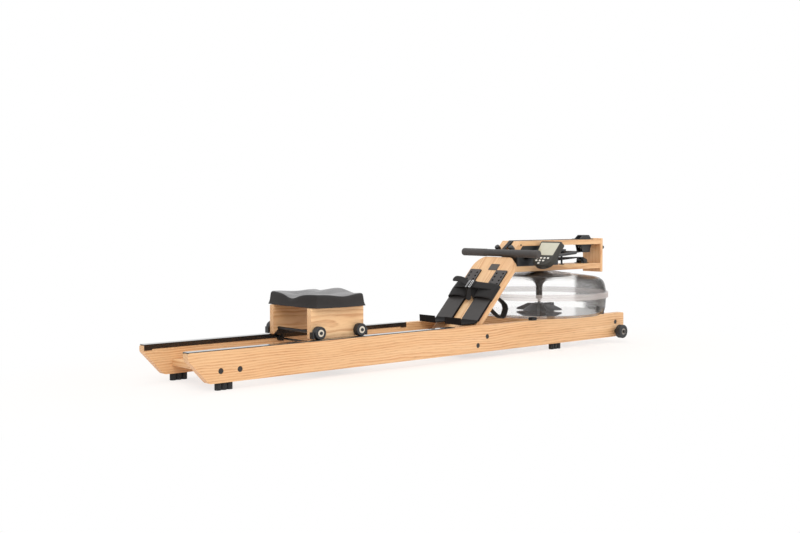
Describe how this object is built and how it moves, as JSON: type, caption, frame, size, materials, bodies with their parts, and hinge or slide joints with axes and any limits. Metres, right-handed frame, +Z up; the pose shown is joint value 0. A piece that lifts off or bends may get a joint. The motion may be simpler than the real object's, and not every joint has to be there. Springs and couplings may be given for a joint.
{
  "type": "water rowing machine",
  "caption": "Wooden rowing machine with a rolling seat on rails, a sloping footboard, a clear water tank with a paddle, a belt-pulled bar handle and a small tilting monitor.",
  "frame": {"origin": "on the floor, under the middle of the rails", "axes": "+X along the rails to the front (tank) end, +Y to the far side, +Z up"},
  "size_m": [2.1, 0.559, 0.449],
  "materials": {
    "oiled_wood": "satin oiled ash",
    "black_plastic": "moulded, slightly glossy",
    "grey_plastic": "moulded, fine grain",
    "wheel_plastic": "moulded, with a pale hub",
    "soft_rubber": "matt",
    "seat_cover": "matt synthetic",
    "clear_plastic": "clear polycarbonate",
    "steel": "plain",
    "webbing": "woven",
    "white_keys": "matt"
  },
  "bodies": {
    "frame": {"rail_near": "oiled_wood", "rail_far": "oiled_wood", "rear_block": "oiled_wood", "footboard_beam": "oiled_wood", "front_block": "oiled_wood", "footboard": "oiled_wood", "deck_bottom_plank": "oiled_wood", "deck_top_plank": "oiled_wood", "front_board": "oiled_wood", "track_near": "black_plastic", "track_far": "black_plastic", "foot_rear_near": "soft_rubber", "foot_rear_far": "soft_rubber", "foot_front_near": "soft_rubber", "foot_front_far": "soft_rubber", "tank_bowl": "clear_plastic", "tank_lid": "clear_plastic", "bearing_housing": "grey_plastic", "drum_guard": "black_plastic", "rear_pulley_axle": "steel", "front_pulley_bracket": "black_plastic", "recoil_pulley_bracket": "black_plastic", "foot_plate_near": "grey_plastic", "foot_plate_far": "grey_plastic", "foot_strap_near": "webbing", "foot_strap_far": "webbing", "monitor_bracket": "black_plastic", "front_knob": "soft_rubber", "drive_belt": "webbing", "recoil_belt": "webbing"},
    "seat": {"seat_cushion": "seat_cover", "seat_panel_near": "oiled_wood", "seat_panel_far": "oiled_wood", "seat_axle_rear": "steel", "seat_axle_front": "steel", "seat_keeper": "black_plastic"},
    "handle": {"handle_grip": "soft_rubber", "handle_strap": "webbing"},
    "drum": {"belt_drum": "black_plastic"},
    "rear_pulley": {"rear_pulley": "black_plastic"},
    "front_pulley": {"front_pulley": "black_plastic"},
    "recoil_pulley": {"recoil_pulley": "black_plastic"},
    "paddle": {"paddle": "grey_plastic"},
    "monitor": {"monitor_case": "black_plastic"},
    "seat_wheel_rear_near": {"seat_wheel_rear_near": "wheel_plastic"},
    "seat_wheel_rear_far": {"seat_wheel_rear_far": "wheel_plastic"},
    "seat_wheel_front_near": {"seat_wheel_front_near": "wheel_plastic"},
    "seat_wheel_front_far": {"seat_wheel_front_far": "wheel_plastic"},
    "transport_wheel_near": {"transport_wheel_near": "wheel_plastic"},
    "transport_wheel_far": {"transport_wheel_far": "wheel_plastic"},
    "key_1": {"key_1": "white_keys"},
    "key_2": {"key_2": "white_keys"},
    "key_3": {"key_3": "white_keys"},
    "key_4": {"key_4": "white_keys"},
    "key_5": {"key_5": "white_keys"},
    "key_6": {"key_6": "white_keys"},
    "key_7": {"key_7": "white_keys"},
    "key_8": {"key_8": "white_keys"},
    "heel_rest_near": {"heel_rest_near": "grey_plastic"},
    "heel_rest_far": {"heel_rest_far": "grey_plastic"}
  },
  "joints": [
    {"name": "seat_slide", "type": "slide", "parent": "frame", "child": "seat", "axis": [1, 0, 0], "range_m": [-0.44, 0.38]},
    {"name": "seat_wheel_rear_near_spin", "type": "hinge", "parent": "seat", "child": "seat_wheel_rear_near", "pos_m": [-0.551, -0.1327, 0.14665], "axis": [0, 1, 0], "continuous": true},
    {"name": "seat_wheel_rear_far_spin", "type": "hinge", "parent": "seat", "child": "seat_wheel_rear_far", "pos_m": [-0.551, 0.1327, 0.14665], "axis": [0, 1, 0], "continuous": true},
    {"name": "seat_wheel_front_near_spin", "type": "hinge", "parent": "seat", "child": "seat_wheel_front_near", "pos_m": [-0.378, -0.1327, 0.14665], "axis": [0, 1, 0], "continuous": true},
    {"name": "seat_wheel_front_far_spin", "type": "hinge", "parent": "seat", "child": "seat_wheel_front_far", "pos_m": [-0.378, 0.1327, 0.14665], "axis": [0, 1, 0], "continuous": true},
    {"name": "handle_slide", "type": "slide", "parent": "frame", "child": "handle", "axis": [-0.9925, 0, 0.1219], "range_m": [0, 1]},
    {"name": "drum_spin", "type": "hinge", "parent": "frame", "child": "drum", "pos_m": [0.682, 0, 0.37], "axis": [0, 0, 1], "continuous": true},
    {"name": "rear_pulley_spin", "type": "hinge", "parent": "frame", "child": "rear_pulley", "pos_m": [0.518, 0, 0.4139], "axis": [0, 1, 0], "continuous": true},
    {"name": "front_pulley_spin", "type": "hinge", "parent": "frame", "child": "front_pulley", "pos_m": [0.965, 0, 0.4051], "axis": [0, 1, 0], "continuous": true},
    {"name": "recoil_pulley_spin", "type": "hinge", "parent": "frame", "child": "recoil_pulley", "pos_m": [0.951, 0, 0.3425], "axis": [0, 1, 0], "continuous": true},
    {"name": "paddle_spin", "type": "hinge", "parent": "frame", "child": "paddle", "pos_m": [0.682, 0, 0.16], "axis": [0, 0, 1], "continuous": true},
    {"name": "transport_wheel_near_spin", "type": "hinge", "parent": "frame", "child": "transport_wheel_near", "pos_m": [0.997, -0.18, 0.047], "axis": [0, 1, 0], "continuous": true},
    {"name": "transport_wheel_far_spin", "type": "hinge", "parent": "frame", "child": "transport_wheel_far", "pos_m": [0.997, 0.18, 0.047], "axis": [0, 1, 0], "continuous": true},
    {"name": "monitor_tilt", "type": "hinge", "parent": "frame", "child": "monitor", "pos_m": [0.62144, -0.112, 0.36752], "axis": [0, 1, 0], "range_deg": [-2, 25]},
    {"name": "key_1_press", "type": "slide", "parent": "monitor", "child": "key_1", "axis": [0.788, 0, -0.6157], "range_m": [0, 0.001], "stiffness_N_per_m": 300},
    {"name": "key_2_press", "type": "slide", "parent": "monitor", "child": "key_2", "axis": [0.788, 0, -0.6157], "range_m": [0, 0.001], "stiffness_N_per_m": 300},
    {"name": "key_3_press", "type": "slide", "parent": "monitor", "child": "key_3", "axis": [0.788, 0, -0.6157], "range_m": [0, 0.001], "stiffness_N_per_m": 300},
    {"name": "key_4_press", "type": "slide", "parent": "monitor", "child": "key_4", "axis": [0.788, 0, -0.6157], "range_m": [0, 0.001], "stiffness_N_per_m": 300},
    {"name": "key_5_press", "type": "slide", "parent": "monitor", "child": "key_5", "axis": [0.788, 0, -0.6157], "range_m": [0, 0.001], "stiffness_N_per_m": 300},
    {"name": "key_6_press", "type": "slide", "parent": "monitor", "child": "key_6", "axis": [0.788, 0, -0.6157], "range_m": [0, 0.001], "stiffness_N_per_m": 300},
    {"name": "key_7_press", "type": "slide", "parent": "monitor", "child": "key_7", "axis": [0.788, 0, -0.6157], "range_m": [0, 0.001], "stiffness_N_per_m": 300},
    {"name": "key_8_press", "type": "slide", "parent": "monitor", "child": "key_8", "axis": [0.788, 0, -0.6157], "range_m": [0, 0.001], "stiffness_N_per_m": 300},
    {"name": "heel_rest_near_slide", "type": "slide", "parent": "frame", "child": "heel_rest_near", "axis": [0.6842, 0, 0.7293], "range_m": [-0.0173, 0.0519]},
    {"name": "heel_rest_far_slide", "type": "slide", "parent": "frame", "child": "heel_rest_far", "axis": [0.6842, 0, 0.7293], "range_m": [-0.0173, 0.0519]}
  ],
  "couplings": [
    {"joint": "seat_wheel_rear_near_spin", "follows": "seat_slide", "rad_per_m": 46.512},
    {"joint": "seat_wheel_rear_far_spin", "follows": "seat_slide", "rad_per_m": 46.512},
    {"joint": "seat_wheel_front_near_spin", "follows": "seat_slide", "rad_per_m": 46.512},
    {"joint": "seat_wheel_front_far_spin", "follows": "seat_slide", "rad_per_m": 46.512},
    {"joint": "drum_spin", "follows": "handle_slide", "rad_per_m": 29.6},
    {"joint": "rear_pulley_spin", "follows": "handle_slide", "rad_per_m": -60.6},
    {"joint": "front_pulley_spin", "follows": "handle_slide", "rad_per_m": -39.5},
    {"joint": "recoil_pulley_spin", "follows": "handle_slide", "rad_per_m": -90.9}
  ]
}
